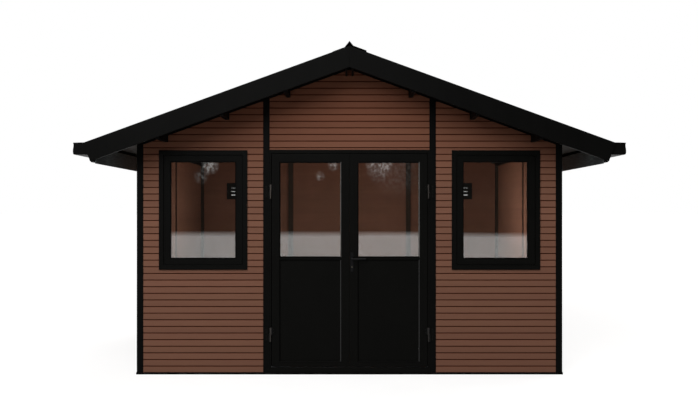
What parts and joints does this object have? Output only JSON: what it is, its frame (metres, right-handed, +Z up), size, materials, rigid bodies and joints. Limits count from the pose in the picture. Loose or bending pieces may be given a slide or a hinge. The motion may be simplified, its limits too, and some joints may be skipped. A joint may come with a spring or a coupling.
{
  "type": "garden shed",
  "caption": "Gable-roofed garden shed with composite plank walls in a dark metal frame, glazed double doors, front windows, roof gutters and back wall vents.",
  "frame": {"origin": "on the ground, in the middle of the shed's footprint", "axes": "+X along the front wall to the right seen from outside, +Y from the front wall to the back wall, +Z up"},
  "size_m": [4.96, 3.7, 3.0558],
  "materials": {
    "frame_metal": "satin",
    "wall_planks": "matte",
    "floor_boards": "matte",
    "roof_boards": "matte",
    "roof_sheet": "satin",
    "door_metal": "satin",
    "hinge_steel": "satin",
    "handle_metal": "semi_gloss",
    "glass": "gloss"
  },
  "bodies": {
    "root": {"base_frame": "frame_metal", "floor_bearers": "floor_boards", "floor_deck": "floor_boards", "corner_posts": "frame_metal", "door_posts": "frame_metal", "back_posts": "frame_metal", "side_posts": "frame_metal", "front_wall_left": "wall_planks", "front_wall_right": "wall_planks", "front_gable": "wall_planks", "left_wall": "wall_planks", "right_wall": "wall_planks", "back_wall_left": "wall_planks", "back_wall_middle": "wall_planks", "back_wall_right": "wall_planks", "vents": "frame_metal", "gable_rail_front": "frame_metal", "gable_rail_back": "frame_metal", "wall_plates": "frame_metal", "window_frames": "door_metal", "window_sashes": "door_metal", "window_glass": "glass", "door_frame": "door_metal", "hinge_pins": "hinge_steel", "ridge_boards": "frame_metal", "purlins": "frame_metal", "eave_boards": "frame_metal", "roof_deck_left": "roof_boards", "roof_deck_right": "roof_boards", "roof_sheet_left": "roof_sheet", "roof_sheet_right": "roof_sheet", "ridge_cap": "roof_sheet", "verge_boards_front": "frame_metal", "verge_boards_back": "frame_metal", "gutter_left": "roof_sheet", "gutter_right": "roof_sheet"},
    "door_left": {"door_leaf_left": "door_metal", "door_glass_left": "glass", "door_panel_left": "door_metal", "hinge_sleeves_left": "hinge_steel"},
    "door_right": {"door_leaf_right": "door_metal", "door_glass_right": "glass", "door_panel_right": "door_metal", "hinge_sleeves_right": "hinge_steel", "handle_plates": "handle_metal"},
    "handle": {"handle_lever": "handle_metal"}
  },
  "joints": [
    {"name": "door_left", "type": "hinge", "parent": "root", "child": "door_left", "pos_m": [-0.745, -1.51, 0], "axis": [0, 0, -1], "range_deg": [0, 110]},
    {"name": "door_right", "type": "hinge", "parent": "root", "child": "door_right", "pos_m": [0.745, -1.51, 0], "axis": [0, 0, 1], "range_deg": [0, 110]},
    {"name": "handle_turn", "type": "hinge", "parent": "door_right", "child": "handle", "pos_m": [0.023, -1.48, 1.088], "axis": [0, 1, 0], "range_deg": [0, 45], "stiffness_Nm_per_rad": 2}
  ]
}
